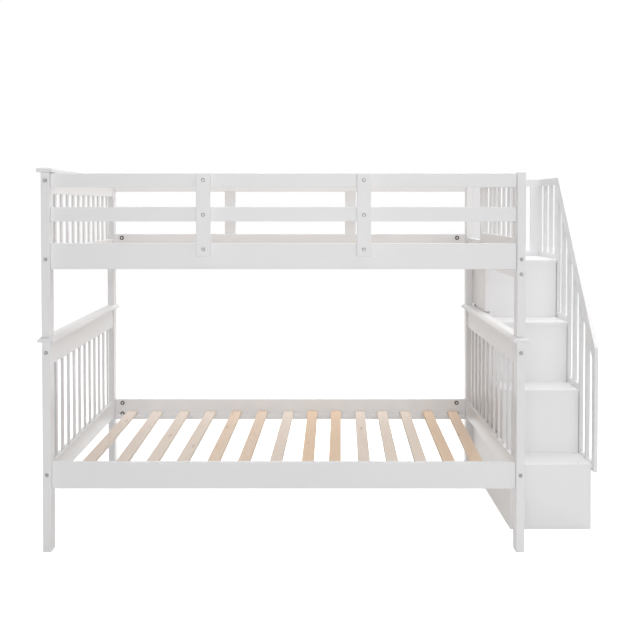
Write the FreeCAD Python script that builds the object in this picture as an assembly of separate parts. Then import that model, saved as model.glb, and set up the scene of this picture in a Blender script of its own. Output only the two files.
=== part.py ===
"""Bunk bed with storage stairs: two full-size beds, one on the other, and a stair tower of cubbies.

Millimetres, +Z up. The bed is drawn with X from its own middle, towards the stairs at its right
end, and Y from the front faces of the posts towards the back. The finished pieces are then moved
so that the origin lies under the middle of the whole object, on the floor.
"""
import FreeCAD, Part
import math
import os

Vec = FreeCAD.Vector

# ---- bed: posts and the space between them ------------------------------------------------
bay_length = 1925.0           # clear length between the posts of one side
bay_depth = 1322.0            # clear depth between the front and back posts
post_width = 35.0             # along the bed
post_depth = 68.0             # across the bed
lower_post_height = 874.0
upper_post_length = 678.7
board = 22.0                  # thickness of rails, ledgers and stiles' stock
arris = 1.5                   # bevel along the long edges of sawn stock

# ---- cap rails ----------------------------------------------------------------------------
cap_overhang = 15.0           # beyond the posts on all four sides
cap_lip = 9.5                 # upright edge of a lower cap, under its sloped edge
cap_slope_height = 12.0
cap_slope_width = 14.0
top_cap_thickness = 18.5      # the cap over the upper left end
top_cap_round = 5.0           # radius of its top edge

# ---- rails, ledgers and slats of both beds ------------------------------------------------
rail_setback = 20.0           # from the post's face to the side rail's face
lower_rail_bottom = 260.5
lower_rail_height = 111.0
lower_ledger_rise = 5.5       # from the bottom edge of the side rail to the ledger
upper_rail_rise = 278.0       # from the foot of the upper posts to the side rail
upper_rail_height = 107.5
upper_ledger_rise = 1.0
ledger_height = 22.0
ledger_width = 20.0
ledger_end_gap = 2.0          # between a ledger's end and the post
slat_width = 53.0
slat_thickness = 19.0
slat_end_gap = 2.0            # between a slat's end and the side rail
first_slat_gap = 64.0         # from the left posts to the middle of the first slat's left edge
last_slat_gap = 72.0          # from the last slat to the right posts
slat_drift = (0.0, 12.0, 18.0, 22.0, 27.0, 32.0, 41.0, 45.0, 35.0, 32.0, 22.0, 14.0, 6.0, 0.0)
                              # how far each lower slat lies from its even place
slat_turn = (0.3, -0.2, 0.5, 1.1, 1.3, 1.7, 1.8, 1.2, 1.7, 1.8, 1.5, 1.5, 1.4, 2.2)
                              # degrees that each lower slat lies off square

# ---- end panels ---------------------------------------------------------------------------
end_bar_count = 11
end_bar_width = 28.0
end_bar_thickness = 10.0
tenon_length = 12.0           # how deep a bar goes into each rail
tenon_fit = 0.2               # clearance round a bar in its mortise
lower_end_top_height = 100.0
lower_end_bottom_z = 272.5
lower_end_bottom_height = 93.0
upper_end_top_height = 89.0
upper_end_bottom_rise = 279.0 # from the foot of the upper posts
upper_end_bottom_height = 82.0

# ---- guard rails of the upper bed ---------------------------------------------------------
guard_top_drop = 4.0          # from the post's top to the top guard rail
guard_top_height = 57.0
guard_mid_rise = 476.0        # from the foot of the upper posts to the middle rail
guard_mid_height = 59.0
stile_width = 58.0
stile_thickness = 20.0
stile_offset = 331.0          # from the middle of the bed to the middle of a stile
stile_lap = 53.0              # how far a stile reaches down over the side rail

# ---- right end of the upper bed: rail, guard panel and entrance ---------------------------
entry_rail_rise = 237.5       # from the foot of the upper posts
entry_rail_height = 129.5
entry_width = 404.0           # clear width of the entrance, in front of the back post
entry_upright_depth = 35.0
panel_bottom_height = 40.0
panel_top_height = 45.0
panel_bar_count = 7

# ---- stair tower --------------------------------------------------------------------------
stair_width = 360.5
first_riser_y = 306.0
run = 226.0
step_count = 3                # treads below the platform
panel = 16.0                  # thickness of the tower's boards
nosing = 5.0                  # tread beyond its riser
cap_clearance = 2.0           # between the cap rail and the tower's boards
bottom_board_z = 30.0
cap_relief_width = 6.5        # notch round the cap's edge in the last riser
cap_relief_drop = 2.5         # that notch below the cap's top
cap_relief_rise = 5.5         # and above it
rear_relief_y = 1250.0        # where the slot under the upper side board begins
rear_relief_height = 8.0

# ---- guard of the stairs ------------------------------------------------------------------
guard_stock = 17.0            # thickness of all its pieces
guard_top_rise = 4.0          # its level rails above the tops of the posts
baluster_depth = 30.0
front_newel_depth = 45.0
front_newel_reach = 35.0      # its front face before the first riser
newel_depth = 68.0
handrail_depth = 68.0         # square across the sloped rail
handrail_foot_rise = 520.7    # from the first tread to the sloped rail's top at its lower end
level_rail_height = 36.0
cleat_height = 38.0
cleat_rise = 27.0             # top of a cleat above its tread
first_cleat_rise = 9.0
level_baluster_count = 2
back_upright_width = 47.0
back_baluster_count = 2

# ---- locating pins ------------------------------------------------------------------------
pin_radius = 5.0
pin_depth = 35.0              # in each post
pin_fit = 0.2                 # radial clearance of a pin in its bore

# ---- derived places -----------------------------------------------------------------------
post_inner_x = bay_length / 2
post_outer_x = post_inner_x + post_width
bed_depth = bay_depth + 2 * post_depth
back_post_y = post_depth + bay_depth
cap_thickness = cap_lip + cap_slope_height
cap_top = lower_post_height + cap_thickness
upper_post_top = cap_top + upper_post_length
upper_rail_bottom = cap_top + upper_rail_rise
upper_end_bottom_z = cap_top + upper_end_bottom_rise
guard_mid_bottom = cap_top + guard_mid_rise
stile_bottom = upper_rail_bottom + upper_rail_height - stile_lap
entry_rail_bottom = cap_top + entry_rail_rise
end_middle_x = (post_inner_x + post_outer_x) / 2
rail_inner_y = rail_setback + board

tower_left = post_outer_x
tower_right = tower_left + stair_width
rise = (lower_post_height - cap_clearance) / step_count
platform_top = rise * (step_count + 1)
guard_top = upper_post_top + guard_top_rise
handrail_foot_z = rise + handrail_foot_rise
platform_y = first_riser_y + run * step_count
guard_right = tower_right + guard_stock
pitch_y = run / 2             # balusters: one beside each riser and one beside each tread's middle
guard_front_y = first_riser_y - front_newel_reach
top_newel_y = platform_y - newel_depth / 4

object_left = -post_outer_x - cap_overhang
object_right = guard_right
object_middle_x = (object_left + object_right) / 2
object_middle_y = bed_depth / 2


def box(x0, x1, y0, y1, z0, z1):
    """A plain block between two corners."""
    return Part.makeBox(x1 - x0, y1 - y0, z1 - z0, Vec(x0, y0, z0))


def eased_face(u0, u1, v0, v1, place):
    """A rectangle with its corners bevelled; place turns (u, v) into a point."""
    e = min(arris, (u1 - u0) / 4, (v1 - v0) / 4)
    corners = [(u0 + e, v0), (u1 - e, v0), (u1, v0 + e), (u1, v1 - e),
               (u1 - e, v1), (u0 + e, v1), (u0, v1 - e), (u0, v0 + e)]
    points = [place(u, v) for u, v in corners]
    return Part.Face(Part.makePolygon(points + points[:1]))


def stock_x(x0, x1, y0, y1, z0, z1):
    """A sawn board along X with eased long edges and square ends."""
    face = eased_face(y0, y1, z0, z1, lambda u, v: Vec(x0, u, v))
    return face.extrude(Vec(x1 - x0, 0, 0))


def stock_y(x0, x1, y0, y1, z0, z1):
    """A sawn board along Y."""
    face = eased_face(x0, x1, z0, z1, lambda u, v: Vec(u, y0, v))
    return face.extrude(Vec(0, y1 - y0, 0))


def stock_z(x0, x1, y0, y1, z0, z1):
    """A sawn board that stands upright."""
    face = eased_face(x0, x1, y0, y1, lambda u, v: Vec(u, v, z0))
    return face.extrude(Vec(0, 0, z1 - z0))


def mortised(rail, bars, fit=tenon_fit):
    """The rail with a mortise for each bar end that reaches into it."""
    room = rail.BoundBox
    for bar in bars:
        b = bar.BoundBox
        low = max(b.ZMin, room.ZMin)
        high = min(b.ZMax, room.ZMax)
        rail = rail.cut(box(b.XMin - fit, b.XMax + fit, b.YMin - fit, b.YMax + fit, low, high))
    return rail


def pin_bored(solid, point, way, depth):
    """The solid with a bore for a locating pin, up (1) or down (-1) from the point."""
    return solid.cut(Part.makeCylinder(pin_radius + pin_fit, depth, point, Vec(0, 0, way)))


def ends(side):
    """X of the inner and outer faces of the posts at the left (-1) or right (+1) end."""
    faces = sorted((side * post_inner_x, side * post_outer_x))
    return faces[0], faces[1]


def posts(bottom, top, pin_level, pin_way):
    """Four posts of one bed, each bored for a locating pin.

    pin_level is the height of the face that the pin enters, and pin_way its direction there.
    """
    out = {}
    for end_name, side in (("left", -1), ("right", 1)):
        x0, x1 = ends(side)
        for place, y0 in (("front", 0.0), ("back", back_post_y)):
            post = stock_z(x0, x1, y0, y0 + post_depth, bottom, top)
            at = Vec((x0 + x1) / 2, y0 + post_depth / 2, pin_level)
            out[f"{place}_{end_name}"] = pin_bored(post, at, pin_way, pin_depth)
    return out


def end_rail(side, z0, height):
    """A rail between the front and back posts of one end."""
    x = side * end_middle_x
    return stock_y(x - board / 2, x + board / 2, post_depth, back_post_y, z0, z0 + height)


def end_bars(side, count, y0, y1, z0, z1):
    """Flat upright bars, evenly spaced between y0 and y1, with their tenons past z0 and z1."""
    x = side * end_middle_x
    half = end_bar_thickness / 2
    gap = (y1 - y0 - count * end_bar_width) / (count + 1)
    bars = []
    for i in range(count):
        y = y0 + gap + i * (gap + end_bar_width)
        bars.append(stock_z(x - half, x + half, y, y + end_bar_width,
                            z0 - tenon_length, z1 + tenon_length))
    return bars


def cap_span(side):
    """Where a cap lies over one end: its lowest and highest X and Y."""
    x0, x1 = ends(side)
    return x0 - cap_overhang, x1 + cap_overhang, -cap_overhang, bed_depth + cap_overhang


def sloped_section(low, high, place):
    """A lower cap cut across: an upright lip on both sides and a slope above each lip."""
    foot, lip = lower_post_height, lower_post_height + cap_lip
    corners = [(low, foot), (high, foot), (high, lip), (high - cap_slope_width, cap_top),
               (low + cap_slope_width, cap_top), (low, lip)]
    points = [place(u, z) for u, z in corners]
    return Part.Face(Part.makePolygon(points + points[:1]))


def lower_cap(side):
    """The cap between the lower and the upper posts, its top edges sloped all the way round."""
    x0, x1, y0, y1 = cap_span(side)
    along = sloped_section(x0, x1, lambda u, z: Vec(u, y0, z)).extrude(Vec(0, y1 - y0, 0))
    across = sloped_section(y0, y1, lambda u, z: Vec(x0, u, z)).extrude(Vec(x1 - x0, 0, 0))
    cap = along.common(across).Solids[0]
    for y in (post_depth / 2, bed_depth - post_depth / 2):
        cap = pin_bored(cap, Vec((x0 + x1) / 2, y, lower_post_height), 1, cap_thickness)
    return cap


def upper_cap(side):
    """The cap over the upper posts of one end, with a small round along its top edges."""
    x0, x1, y0, y1 = cap_span(side)
    cap = box(x0, x1, y0, y1, upper_post_top, upper_post_top + top_cap_thickness)
    top_edges = [e for e in cap.Edges if e.BoundBox.ZMin > upper_post_top + top_cap_round]
    return cap.makeFillet(top_cap_round, top_edges)


def side_rail(place, z0, height, setback=rail_setback, thickness=board):
    """A board along the bed at the front or back, between the posts."""
    y0, y1 = setback, setback + thickness
    if place == "back":
        y0, y1 = bed_depth - y1, bed_depth - y0
    return stock_x(-post_inner_x, post_inner_x, y0, y1, z0, z0 + height)


def ledger(place, z0):
    """The strip inside a side rail that carries the slats."""
    y0, y1 = rail_inner_y, rail_inner_y + ledger_width
    if place == "back":
        y0, y1 = bed_depth - y1, bed_depth - y0
    reach = post_inner_x - ledger_end_gap
    return stock_x(-reach, reach, y0, y1, z0, z0 + ledger_height)


def slats(z0, drift, turn):
    """Loose slats across the ledgers, each shifted and turned a little from its even place."""
    count = len(drift)
    free = bay_length - first_slat_gap - last_slat_gap - slat_width
    y0 = rail_inner_y + slat_end_gap
    y1 = bed_depth - y0
    out = []
    for i in range(count):
        x = -post_inner_x + first_slat_gap + free * i / (count - 1) + drift[i]
        slat = stock_y(x, x + slat_width, y0, y1, z0, z0 + slat_thickness)
        slat.rotate(Vec(x + slat_width / 2, bed_depth / 2, z0), Vec(0, 0, 1), -turn[i])
        out.append(slat)
    return out


def guard_stile(place, side):
    """An upright board screwed to the outer faces of the guard rails and the side rail."""
    y1 = rail_setback
    y0 = y1 - stile_thickness
    if place == "back":
        y0, y1 = bed_depth - y1, bed_depth - y0
    x = side * stile_offset
    top = upper_post_top - guard_top_drop
    return stock_z(x - stile_width / 2, x + stile_width / 2, y0, y1, stile_bottom, top)


def lower_bed():
    """The bed that stands on the floor."""
    top_z = lower_post_height - lower_end_top_height
    bars_low = lower_end_bottom_z + lower_end_bottom_height
    parts = {}
    for name, post in posts(0.0, lower_post_height, lower_post_height, -1).items():
        parts["lower_post_" + name] = post
    for name, side in (("left", -1), ("right", 1)):
        bars = end_bars(side, end_bar_count, post_depth, back_post_y, bars_low, top_z)
        top = end_rail(side, top_z, lower_end_top_height)
        bottom = end_rail(side, lower_end_bottom_z, lower_end_bottom_height)
        parts[f"lower_{name}_top_rail"] = mortised(top, bars)
        parts[f"lower_{name}_bottom_rail"] = mortised(bottom, bars)
        parts[f"lower_{name}_end_bars"] = bars
        parts[f"lower_{name}_cap_rail"] = lower_cap(side)
    ledger_z = lower_rail_bottom + lower_ledger_rise
    for place in ("front", "back"):
        parts[f"lower_{place}_side_rail"] = side_rail(place, lower_rail_bottom, lower_rail_height)
        parts[f"lower_{place}_ledger"] = ledger(place, ledger_z)
    parts["lower_slats"] = slats(ledger_z + ledger_height, slat_drift, slat_turn)
    return parts


def upper_bed():
    """The bed that stands on the lower one, with its two ends."""
    top_z = upper_post_top - upper_end_top_height
    bars_low = upper_end_bottom_z + upper_end_bottom_height
    parts = {}
    for name, post in posts(cap_top, upper_post_top, cap_top, 1).items():
        parts["upper_post_" + name] = post
    bars = end_bars(-1, end_bar_count, post_depth, back_post_y, bars_low, top_z)
    top = end_rail(-1, top_z, upper_end_top_height)
    bottom = end_rail(-1, upper_end_bottom_z, upper_end_bottom_height)
    parts["upper_left_top_rail"] = mortised(top, bars)
    parts["upper_left_bottom_rail"] = mortised(bottom, bars)
    parts["upper_left_end_bars"] = bars
    parts["upper_left_cap_rail"] = upper_cap(-1)
    parts["upper_right_end_rail"] = end_rail(1, entry_rail_bottom, entry_rail_height)
    ledger_z = upper_rail_bottom + upper_ledger_rise
    for place in ("front", "back"):
        parts[f"upper_{place}_side_rail"] = side_rail(place, upper_rail_bottom, upper_rail_height)
        parts[f"upper_{place}_ledger"] = ledger(place, ledger_z)
    even = (0.0,) * len(slat_drift)
    parts["upper_slats"] = slats(ledger_z + ledger_height, even, even)
    return parts


def long_guards():
    """The guard rails along the front and back of the upper bed, and their stiles."""
    top_z = upper_post_top - guard_top_drop - guard_top_height
    parts = {}
    for place in ("front", "back"):
        parts[f"{place}_guard_top_rail"] = side_rail(place, top_z, guard_top_height)
        parts[f"{place}_guard_middle_rail"] = side_rail(place, guard_mid_bottom, guard_mid_height)
        parts[f"{place}_guard_stiles"] = [guard_stile(place, -1), guard_stile(place, 1)]
    return parts


def entry_guard():
    """The short guard panel on the right end rail, which stops where the entrance begins."""
    x0 = end_middle_x - board / 2
    x1 = end_middle_x + board / 2
    z0 = entry_rail_bottom + entry_rail_height
    z1 = upper_post_top - guard_top_drop
    upright_back = back_post_y - entry_width
    upright_front = upright_back - entry_upright_depth
    bars_low = z0 + panel_bottom_height
    bars_high = z1 - panel_top_height
    bars = end_bars(1, panel_bar_count, post_depth, upright_front, bars_low, bars_high)
    low_rail = stock_y(x0, x1, post_depth, upright_front, z0, bars_low)
    high_rail = stock_y(x0, x1, post_depth, upright_front, bars_high, z1)
    return {
        "entry_panel_rails": [mortised(low_rail, bars), mortised(high_rail, bars)],
        "entry_panel_bars": bars,
        "entry_upright": stock_z(x0, x1, upright_front, upright_back, z0, z1),
    }


def riser_y(step):
    """Front face of a riser, counted from 1."""
    return first_riser_y + run * (step - 1)


def cap_notched(side_board, riser):
    """The upper side board and the last riser, with their notches over the cap between the beds."""
    inner = tower_left + panel
    slot_z = cap_top + cap_clearance
    slot = box(tower_left, inner, rear_relief_y, bed_depth, slot_z, slot_z + rear_relief_height)
    notch = box(tower_left, inner + cap_relief_width, platform_y, platform_y + panel,
                cap_top - cap_relief_drop, cap_top + cap_relief_rise)
    return side_board.cut(slot).cut(notch), riser.cut(notch)


def stair_tower():
    """The columns of boards under the treads, open on the outer side as cubbies."""
    inner = tower_left + panel
    side_panels, risers, treads, shelves, bottoms = [], [], [], [], []
    for step in range(1, step_count + 2):
        front = riser_y(step)
        last = step > step_count
        back = bed_depth if last else riser_y(step + 1)
        under = rise * step - panel
        riser = box(inner, tower_right, front, front + panel, 0, under)
        if last:
            upper = box(tower_left, inner, front, back, cap_top + cap_clearance, under)
            upper, riser = cap_notched(upper, riser)
            side_panels.append(box(tower_left, inner, front, back, 0, rise * step_count))
            side_panels.append(upper)
        else:
            side_panels.append(box(tower_left, inner, front, back, 0, under))
            treads.append(stock_x(tower_left, tower_right, front - nosing, back, under, rise * step))
        risers.append(riser)
        room_back = back - panel if last else back
        bottoms.append(box(inner, tower_right, front + panel, room_back,
                           bottom_board_z, bottom_board_z + panel))
        for level in range(1, step):
            z = rise * level
            shelves.append(box(inner, tower_right, front + panel, room_back, z - panel, z))
    platform = stock_x(tower_left, tower_right, platform_y - nosing, bed_depth,
                       platform_top - panel, platform_top)
    back_panel = box(inner, tower_right, bed_depth - panel, bed_depth, 0, platform_top - panel)
    return {
        "stair_side_panels": side_panels,
        "stair_risers": risers,
        "stair_treads": treads,
        "stair_platform": platform,
        "stair_shelves": shelves,
        "stair_bottom_boards": bottoms,
        "stair_back_panel": back_panel,
    }


def raked(y0, y1, z0, underside):
    """An upright piece whose top is cut to the slope of the handrail."""
    points = [Vec(tower_right, y0, z0), Vec(tower_right, y1, z0),
              Vec(tower_right, y1, underside(y1)), Vec(tower_right, y0, underside(y0))]
    return Part.Face(Part.makePolygon(points + points[:1])).extrude(Vec(guard_stock, 0, 0))


def cleat_top(step):
    """Top of the cleat beside a tread, or beside the platform."""
    return rise * step + (first_cleat_rise if step == 1 else cleat_rise)


def stair_guard():
    """The open guard on the outer side of the stairs and round the platform."""
    top = guard_top
    slope = (top - handrail_foot_z) / (top_newel_y - guard_front_y)
    plumb = handrail_depth * math.hypot(1.0, slope)

    def underside(y):
        """Height of the sloped rail's lower edge."""
        return handrail_foot_z + slope * (y - guard_front_y) - plumb

    x0, x1 = tower_right, guard_right
    half = baluster_depth / 2
    first_back = guard_front_y + front_newel_depth
    newel_back = top_newel_y + newel_depth
    corner_front = bed_depth - newel_depth
    rail_under = top - level_rail_height
    foot_z = cleat_top(1) - cleat_height

    outline = [Vec(x0, guard_front_y, underside(guard_front_y)),
               Vec(x0, top_newel_y, underside(top_newel_y)),
               Vec(x0, top_newel_y, top), Vec(x0, guard_front_y, handrail_foot_z)]
    handrail = Part.Face(Part.makePolygon(outline + outline[:1])).extrude(Vec(guard_stock, 0, 0))

    cleats = []
    balusters = []
    for step in range(1, step_count + 1):
        last = step == step_count
        start = first_back if step == 1 else riser_y(step) + half
        stop = top_newel_y if last else riser_y(step + 1) + half
        z = cleat_top(step)
        cleats.append(box(x0, x1, start, stop, z - cleat_height, z))
        middles = [riser_y(step) + pitch_y]
        if not last:
            middles.append(riser_y(step + 1))
        for y in middles:
            balusters.append(raked(y - half, y + half, z, underside))
    z = cleat_top(step_count + 1)
    cleats.append(box(x0, x1, newel_back, corner_front, z - cleat_height, z))
    gap = (corner_front - newel_back - level_baluster_count * baluster_depth) / (level_baluster_count + 1)
    for i in range(level_baluster_count):
        y = newel_back + gap + i * (gap + baluster_depth)
        balusters.append(box(x0, x1, y, y + baluster_depth, z, rail_under))
    top_foot = cleat_top(step_count) - cleat_height
    corner_foot = z - cleat_height
    return {
        "stair_front_newel": raked(guard_front_y, first_back, foot_z, underside),
        "stair_top_newel": box(x0, x1, top_newel_y, newel_back, top_foot, rail_under),
        "stair_corner_newel": box(x0, x1, corner_front, bed_depth, corner_foot, rail_under),
        "stair_sloped_handrail": handrail,
        "stair_level_handrail": stock_y(x0, x1, top_newel_y, bed_depth, rail_under, top),
        "stair_guard_cleats": cleats,
        "stair_guard_balusters": balusters,
    }


def back_guard():
    """The guard across the back of the platform, between the bed's post and the corner newel."""
    y0, y1 = back_post_y, back_post_y + guard_stock
    top = guard_top
    rail_under = top - level_rail_height
    foot = platform_top + cleat_rise
    count = back_baluster_count + 2
    gap = (stair_width - count * back_upright_width) / (count - 1)
    uprights = []
    for i in range(count):
        x = tower_left + i * (back_upright_width + gap)
        uprights.append(box(x, x + back_upright_width, y0, y1, foot, rail_under))
    return {
        "platform_back_top_rail": stock_x(tower_left, tower_right, y0, y1, rail_under, top),
        "platform_back_bottom_rail": stock_x(tower_left, tower_right, y0, y1, platform_top, foot),
        "platform_back_uprights": uprights,
    }


def locating_pins():
    """The pins that join each upper post through its cap rail to the lower post."""
    out = []
    for side in (-1, 1):
        x = side * end_middle_x
        for y in (post_depth / 2, bed_depth - post_depth / 2):
            start = Vec(x, y, lower_post_height - pin_depth)
            out.append(Part.makeCylinder(pin_radius, cap_thickness + 2 * pin_depth, start))
    return out


def whole_object():
    """Every sub-part by name, in the object's own frame."""
    parts = {**lower_bed(), **upper_bed(), **long_guards(), **entry_guard(),
             **stair_tower(), **stair_guard(), **back_guard()}
    parts["post_pins"] = locating_pins()
    shift = Vec(-object_middle_x, -object_middle_y, 0)
    placed = {}
    for name, shape in parts.items():
        shape = Part.makeCompound(shape) if isinstance(shape, list) else shape
        shape.translate(shift)
        placed[name] = shape
    return placed


def main():
    """Writes one STEP file for each sub-part."""
    os.makedirs("parts", exist_ok=True)
    for name, shape in whole_object().items():
        shape.exportStep(f"parts/{name}.step")
        print(f"{name}: {len(shape.Solids)} solids, {shape.Volume / 1e3:.0f} cm3")


if __name__ == "__main__":
    main()
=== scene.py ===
"""The looks of a white bunk bed with storage stairs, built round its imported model.

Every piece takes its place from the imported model's nodes, in metres: +X along the bed towards the
stairs, +Y from the front of the bed towards the wall, +Z up.
"""
import logging
import math
import random
from dataclasses import dataclass, field
from enum import Enum
from typing import Iterable, Sequence

import bmesh
import bpy
import numpy as np
from mathutils import Matrix, Vector


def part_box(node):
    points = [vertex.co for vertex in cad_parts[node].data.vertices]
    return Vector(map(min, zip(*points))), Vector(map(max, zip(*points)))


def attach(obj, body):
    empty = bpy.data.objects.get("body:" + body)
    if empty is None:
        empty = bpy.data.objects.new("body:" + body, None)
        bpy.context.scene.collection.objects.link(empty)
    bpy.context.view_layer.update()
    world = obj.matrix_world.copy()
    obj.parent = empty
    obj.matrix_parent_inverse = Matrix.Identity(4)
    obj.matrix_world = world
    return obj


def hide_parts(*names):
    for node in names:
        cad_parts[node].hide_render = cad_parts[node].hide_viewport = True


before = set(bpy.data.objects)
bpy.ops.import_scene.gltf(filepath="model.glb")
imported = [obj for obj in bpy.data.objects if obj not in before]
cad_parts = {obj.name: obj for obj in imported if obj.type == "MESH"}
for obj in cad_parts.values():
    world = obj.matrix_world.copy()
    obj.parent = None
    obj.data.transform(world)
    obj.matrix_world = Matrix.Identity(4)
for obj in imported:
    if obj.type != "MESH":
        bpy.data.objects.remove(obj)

LOG = logging.getLogger("bunk_bed")
MM = 0.001
BODY = "root"
Triple = tuple[float, float, float]
Spot = tuple[Vector, Vector]      # a point and the direction that something has there
ROUND_SIDES = 24
OUTSIDE = 1.0 * MM                # how far a cutter begins outside the face that it cuts
RAIL_EDGE = 2.0 * MM              # the edge radius of rails and posts


class Axis(Enum):
    """The direction in which a board's grain runs."""

    X = 0
    Y = 1
    Z = 2


class Side(Enum):
    """The long sides of the bed: -1 is the front."""

    FRONT = -1
    BACK = 1


class End(Enum):
    """The ends of the bed: -1 is the left one, away from the stairs."""

    LEFT = -1
    RIGHT = 1


class Slot(Enum):
    """The record's material slots."""

    PAINT = "white_paint"
    WOOD = "slat_wood"
    STEEL = "steel"


# ---- node trees ---------------------------------------------------------------------------


class Expr:
    """A socket that arithmetic can be done on; each operator adds a Math node."""

    def __init__(self, graph: "Graph", socket: bpy.types.NodeSocket) -> None:
        """Wraps one output socket of the graph's tree."""
        self.graph = graph
        self.socket = socket

    def math(self, operation: str, *values: "Expr | float") -> "Expr":
        """Adds a Math node.

        Args:
            operation: the Math node's operation.
            values: its inputs in order, sockets or numbers.

        Returns:
            The node's result.
        """
        node = self.graph.node("ShaderNodeMath", {"operation": operation})
        for socket, value in zip(node.inputs, values):
            self.graph.feed(socket, value)
        return Expr(self.graph, node.outputs[0])

    def __add__(self, other: "Expr | float") -> "Expr":
        """self + other."""
        return self.math("ADD", self, other)

    __radd__ = __add__

    def __sub__(self, other: "Expr | float") -> "Expr":
        """self - other."""
        return self.math("SUBTRACT", self, other)

    def __rsub__(self, other: float) -> "Expr":
        """other - self."""
        return self.math("SUBTRACT", other, self)

    def __mul__(self, other: "Expr | float") -> "Expr":
        """self * other."""
        return self.math("MULTIPLY", self, other)

    __rmul__ = __mul__

    def __pow__(self, other: "Expr | float") -> "Expr":
        """self to the power of other."""
        return self.math("POWER", self, other)

    def clamp(self) -> "Expr":
        """The value held between 0 and 1."""
        return self.math("MINIMUM", self.math("MAXIMUM", self, 0.0), 1.0)


class Graph:
    """Builds a node tree with one method for every kind of node."""

    def __init__(self, tree: bpy.types.NodeTree) -> None:
        """Works on the given tree."""
        self.tree = tree

    def feed(self, socket: bpy.types.NodeSocket, value: object) -> None:
        """Links a socket to an expression or another socket, or sets its value."""
        if isinstance(value, Expr):
            value = value.socket
        if isinstance(value, bpy.types.NodeSocket):
            self.tree.links.new(value, socket)
        else:
            socket.default_value = value

    def node(self, kind: str, settings: dict | None = None, inputs: dict | None = None) -> bpy.types.Node:
        """Adds a node.

        Args:
            kind: the node's type name.
            settings: its properties; "stops" gives a ramp's stops as (place, colour) pairs.
            inputs: values, sockets or expressions by input name or number.

        Returns:
            The new node.
        """
        node = self.tree.nodes.new(kind)
        for key, value in (settings or {}).items():
            if key == "stops":
                ramp = node.color_ramp
                while len(ramp.elements) < len(value):
                    ramp.elements.new(0.5)
                for element, (place, colour) in zip(ramp.elements, value):
                    element.position = place
                    element.color = colour
            else:
                setattr(node, key, value)
        for key, value in (inputs or {}).items():
            self.feed(node.inputs[key], value)
        return node

    def value(self, kind: str, settings: dict | None = None, inputs: dict | None = None,
              out: object = 0) -> Expr:
        """Adds a node and returns one of its outputs, by name or number."""
        return Expr(self, self.node(kind, settings, inputs).outputs[out])

    def attribute(self, name: str, out: str) -> Expr:
        """A mesh attribute's value."""
        return self.value("ShaderNodeAttribute", {"attribute_name": name}, out=out)

    def direct(self) -> Expr:
        """1 for what the camera sees, straight or in a shiny surface, otherwise 0."""
        paths = self.node("ShaderNodeLightPath").outputs
        straight = Expr(self, paths["Is Camera Ray"])
        return straight.math("MAXIMUM", straight, Expr(self, paths["Is Glossy Ray"]))


def rgba(colour: Sequence[float]) -> tuple[float, float, float, float]:
    """A colour with full alpha."""
    return (colour[0], colour[1], colour[2], 1.0)


class Finish:
    """A material being built: a Principled shader and the tools to feed it."""

    def __init__(self, name: str) -> None:
        """Creates the material with an empty tree, its shader and its output."""
        self.material = bpy.data.materials.new(name)
        self.material.use_nodes = True
        self.material.node_tree.nodes.clear()
        self.graph = Graph(self.material.node_tree)
        self.shader = self.graph.node("ShaderNodeBsdfPrincipled")
        self.output = self.graph.node("ShaderNodeOutputMaterial",
                                      inputs={"Surface": self.shader.outputs["BSDF"]})

    def set(self, **inputs: object) -> None:
        """Sets or links the shader's sockets; an underscore in a name stands for a space."""
        for key, value in inputs.items():
            self.graph.feed(self.shader.inputs[key.replace("_", " ")], value)

    def grain_place(self, scale: Sequence[float]) -> Expr:
        """The board's own coordinates, shifted from board to board.

        Args:
            scale: how often a pattern repeats per metre along, across and through the board.

        Returns:
            A vector for a texture.
        """
        graph = self.graph
        along, tone = graph.attribute("grain", "Vector"), graph.attribute("tone", "Fac")
        shift = graph.value("ShaderNodeCombineXYZ",
                            inputs={"X": tone * 3.1, "Y": tone * 1.7, "Z": tone * 2.3})
        place = graph.value("ShaderNodeVectorMath", {"operation": "ADD"}, {0: along, 1: shift})
        return graph.value("ShaderNodeMapping", inputs={"Vector": place, "Scale": tuple(scale)})

    def noise(self, vector: Expr, scale: float, detail: float = 3.0, roughness: float = 0.5,
              distortion: float = 0.0) -> Expr:
        """A noise texture's value, from 0 to 1."""
        inputs = {"Vector": vector, "Scale": scale, "Detail": detail, "Roughness": roughness,
                  "Distortion": distortion}
        return self.graph.value("ShaderNodeTexNoise", inputs=inputs, out="Fac")

    def blend(self, factor: Expr | float, first: object, second: object) -> Expr:
        """Mixes two colours."""
        node = self.graph.node("ShaderNodeMix", {"data_type": "RGBA"})
        self.graph.feed(node.inputs[0], factor)
        self.graph.feed(node.inputs[6], first)
        self.graph.feed(node.inputs[7], second)
        return Expr(self.graph, node.outputs[2])

    def bump(self, height: Expr, strength: float, distance: float) -> Expr:
        """A normal raised by the height."""
        inputs = {"Height": height, "Strength": strength, "Distance": distance}
        return self.graph.value("ShaderNodeBump", inputs=inputs, out="Normal")


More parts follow.
